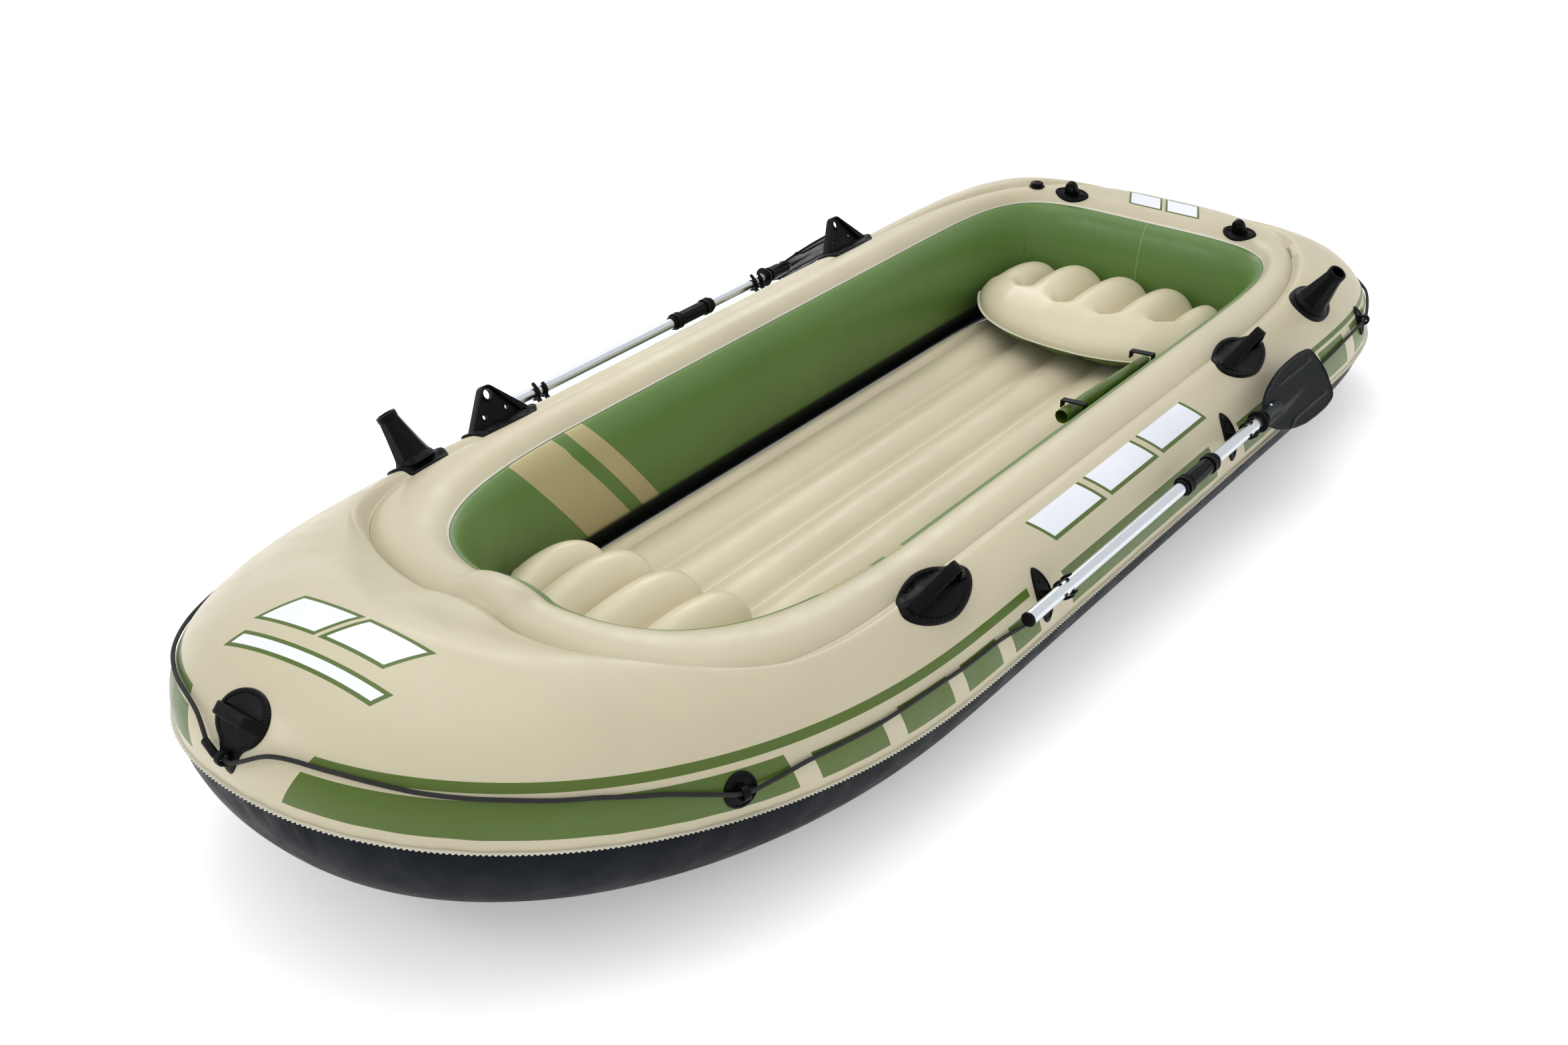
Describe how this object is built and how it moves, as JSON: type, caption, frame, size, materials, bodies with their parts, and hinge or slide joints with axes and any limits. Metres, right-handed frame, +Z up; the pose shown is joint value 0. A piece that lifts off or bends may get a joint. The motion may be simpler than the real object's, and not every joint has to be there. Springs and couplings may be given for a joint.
{
  "type": "inflatable rowing boat",
  "caption": "Inflatable rowing boat with a round bow, inflated floor, lift-out seat cushions, clipped oars, oarlocks, rod holders and a grab line.",
  "frame": {"origin": "middle of the footprint, at the height of the floor the boat stands on", "axes": "+X towards the bow, +Y to port, +Z up"},
  "size_m": [3.5277, 1.595, 0.57],
  "materials": {
    "aft_oar_clasp_port": "matt moulded",
    "aft_oar_clasp_starboard": "matt moulded",
    "aft_oarlock_port": "matt moulded",
    "aft_oarlock_starboard": "matt moulded",
    "back_cushion": "satin vinyl",
    "bottom_sheet": "satin reinforced vinyl",
    "bow_handle": "matt moulded",
    "floor_mat": "satin vinyl",
    "fore_oar_clasp_port": "matt moulded",
    "fore_oar_clasp_starboard": "matt moulded",
    "fore_oarlock_port": "matt moulded",
    "fore_oarlock_starboard": "matt moulded",
    "front_cushion": "satin vinyl",
    "gear_pouch": "matt cloth",
    "grab_line": "braided",
    "hull_lower": "satin reinforced vinyl",
    "hull_upper": "satin reinforced vinyl",
    "inner_chamber": "satin reinforced vinyl",
    "motor_mount_port": "matt moulded",
    "motor_mount_starboard": "matt moulded",
    "port_oar_aft_collar": "satin moulded",
    "port_oar_blade": "satin moulded",
    "port_oar_button": "brushed and anodised",
    "port_oar_drip_ring": "satin moulded",
    "port_oar_end_cap": "satin moulded",
    "port_oar_fore_collar": "satin moulded",
    "port_oar_lower_shaft": "brushed and anodised",
    "port_oar_sleeve": "satin moulded",
    "port_oar_upper_shaft": "brushed and anodised",
    "pouch_hook_aft": "satin moulded",
    "pouch_hook_fore": "satin moulded",
    "rod_holder_aft": "matt moulded",
    "rod_holder_fore": "matt moulded",
    "rope_eye_port": "matt moulded",
    "rope_eye_starboard": "matt moulded",
    "rope_guide_port": "matt moulded",
    "rope_guide_starboard": "matt moulded",
    "seam_flange": "satin reinforced vinyl",
    "starboard_oar_aft_collar": "satin moulded",
    "starboard_oar_blade": "satin moulded",
    "starboard_oar_button": "brushed and anodised",
    "starboard_oar_drip_ring": "satin moulded",
    "starboard_oar_end_cap": "satin moulded",
    "starboard_oar_fore_collar": "satin moulded",
    "starboard_oar_lower_shaft": "brushed and anodised",
    "starboard_oar_sleeve": "satin moulded",
    "starboard_oar_upper_shaft": "brushed and anodised",
    "stern_valve_base": "satin moulded",
    "stern_valve_cap": "satin moulded"
  },
  "bodies": {
    "hull": {"aft_oar_clasp_port": "aft_oar_clasp_port", "aft_oar_clasp_starboard": "aft_oar_clasp_starboard", "aft_oarlock_port": "aft_oarlock_port", "aft_oarlock_starboard": "aft_oarlock_starboard", "bottom_sheet": "bottom_sheet", "bow_handle": "bow_handle", "floor_mat": "floor_mat", "fore_oar_clasp_port": "fore_oar_clasp_port", "fore_oar_clasp_starboard": "fore_oar_clasp_starboard", "fore_oarlock_port": "fore_oarlock_port", "fore_oarlock_starboard": "fore_oarlock_starboard", "grab_line": "grab_line", "hull_lower": "hull_lower", "hull_upper": "hull_upper", "inner_chamber": "inner_chamber", "motor_mount_port": "motor_mount_port", "motor_mount_starboard": "motor_mount_starboard", "pouch_hook_aft": "pouch_hook_aft", "pouch_hook_fore": "pouch_hook_fore", "rod_holder_aft": "rod_holder_aft", "rod_holder_fore": "rod_holder_fore", "rope_eye_port": "rope_eye_port", "rope_eye_starboard": "rope_eye_starboard", "rope_guide_port": "rope_guide_port", "rope_guide_starboard": "rope_guide_starboard", "seam_flange": "seam_flange", "stern_valve_base": "stern_valve_base"},
    "front_seat": {"front_cushion": "front_cushion"},
    "back_seat": {"back_cushion": "back_cushion"},
    "pouch": {"gear_pouch": "gear_pouch"},
    "stern_valve_lid": {"stern_valve_cap": "stern_valve_cap"},
    "port_oar": {"port_oar_end_cap": "port_oar_end_cap", "port_oar_lower_shaft": "port_oar_lower_shaft", "port_oar_sleeve": "port_oar_sleeve"},
    "port_oar_blade_half": {"port_oar_upper_shaft": "port_oar_upper_shaft", "port_oar_blade": "port_oar_blade"},
    "port_fore_collar": {"port_oar_fore_collar": "port_oar_fore_collar"},
    "port_aft_collar": {"port_oar_aft_collar": "port_oar_aft_collar"},
    "port_drip_ring": {"port_oar_drip_ring": "port_oar_drip_ring"},
    "port_lock_button": {"port_oar_button": "port_oar_button"},
    "starboard_oar": {"starboard_oar_end_cap": "starboard_oar_end_cap", "starboard_oar_lower_shaft": "starboard_oar_lower_shaft", "starboard_oar_sleeve": "starboard_oar_sleeve"},
    "starboard_oar_blade_half": {"starboard_oar_upper_shaft": "starboard_oar_upper_shaft", "starboard_oar_blade": "starboard_oar_blade"},
    "starboard_fore_collar": {"starboard_oar_fore_collar": "starboard_oar_fore_collar"},
    "starboard_aft_collar": {"starboard_oar_aft_collar": "starboard_oar_aft_collar"},
    "starboard_drip_ring": {"starboard_oar_drip_ring": "starboard_oar_drip_ring"},
    "starboard_lock_button": {"starboard_oar_button": "starboard_oar_button"}
  },
  "joints": [
    {"name": "front_seat_lift", "type": "slide", "parent": "hull", "child": "front_seat", "axis": [0, 0, 1], "range_m": [0, 0.35]},
    {"name": "back_seat_lift", "type": "slide", "parent": "hull", "child": "back_seat", "axis": [0, 0, 1], "range_m": [0, 0.35]},
    {"name": "pouch_swing", "type": "hinge", "parent": "hull", "child": "pouch", "pos_m": [-0.52, 0.374, 0.327], "axis": [-1, 0, 0], "range_deg": [0, 50]},
    {"name": "stern_valve_turn", "type": "hinge", "parent": "hull", "child": "stern_valve_lid", "pos_m": [-1.4521, -0.3813, 0.4028], "axis": [-0.0132, -0.0088, 0.9999], "range_deg": [0, 270]},
    {"name": "port_oar_lift", "type": "slide", "parent": "hull", "child": "port_oar", "axis": [0, 0.7648, 0.6442], "range_m": [0, 0.2]},
    {"name": "port_oar_part", "type": "slide", "parent": "port_oar", "child": "port_oar_blade_half", "axis": [-1, 0, 0], "range_m": [0, 0.06]},
    {"name": "port_fore_collar_twist", "type": "hinge", "parent": "port_oar", "child": "port_fore_collar", "pos_m": [-0.21, 0.745, 0.311], "axis": [1, 0, 0], "range_deg": [-90, 90]},
    {"name": "port_aft_collar_twist", "type": "hinge", "parent": "port_oar", "child": "port_aft_collar", "pos_m": [-0.331, 0.745, 0.311], "axis": [1, 0, 0], "range_deg": [-90, 90]},
    {"name": "port_drip_ring_slide", "type": "slide", "parent": "port_oar_blade_half", "child": "port_drip_ring", "axis": [1, 0, 0], "range_m": [0, 0.008]},
    {"name": "port_lock_button_press", "type": "slide", "parent": "port_oar_blade_half", "child": "port_lock_button", "axis": [0, 0, -1], "range_m": [0, 0.0035], "stiffness_N_per_m": 400, "springref_m": -0.002},
    {"name": "starboard_oar_lift", "type": "slide", "parent": "hull", "child": "starboard_oar", "axis": [0, -0.7648, 0.6442], "range_m": [0, 0.2]},
    {"name": "starboard_oar_part", "type": "slide", "parent": "starboard_oar", "child": "starboard_oar_blade_half", "axis": [-1, 0, 0], "range_m": [0, 0.06]},
    {"name": "starboard_fore_collar_twist", "type": "hinge", "parent": "starboard_oar", "child": "starboard_fore_collar", "pos_m": [-0.21, -0.745, 0.311], "axis": [1, 0, 0], "range_deg": [-90, 90]},
    {"name": "starboard_aft_collar_twist", "type": "hinge", "parent": "starboard_oar", "child": "starboard_aft_collar", "pos_m": [-0.331, -0.745, 0.311], "axis": [1, 0, 0], "range_deg": [-90, 90]},
    {"name": "starboard_drip_ring_slide", "type": "slide", "parent": "starboard_oar_blade_half", "child": "starboard_drip_ring", "axis": [1, 0, 0], "range_m": [0, 0.008]},
    {"name": "starboard_lock_button_press", "type": "slide", "parent": "starboard_oar_blade_half", "child": "starboard_lock_button", "axis": [0, 0, -1], "range_m": [0, 0.0035], "stiffness_N_per_m": 400, "springref_m": -0.002}
  ]
}
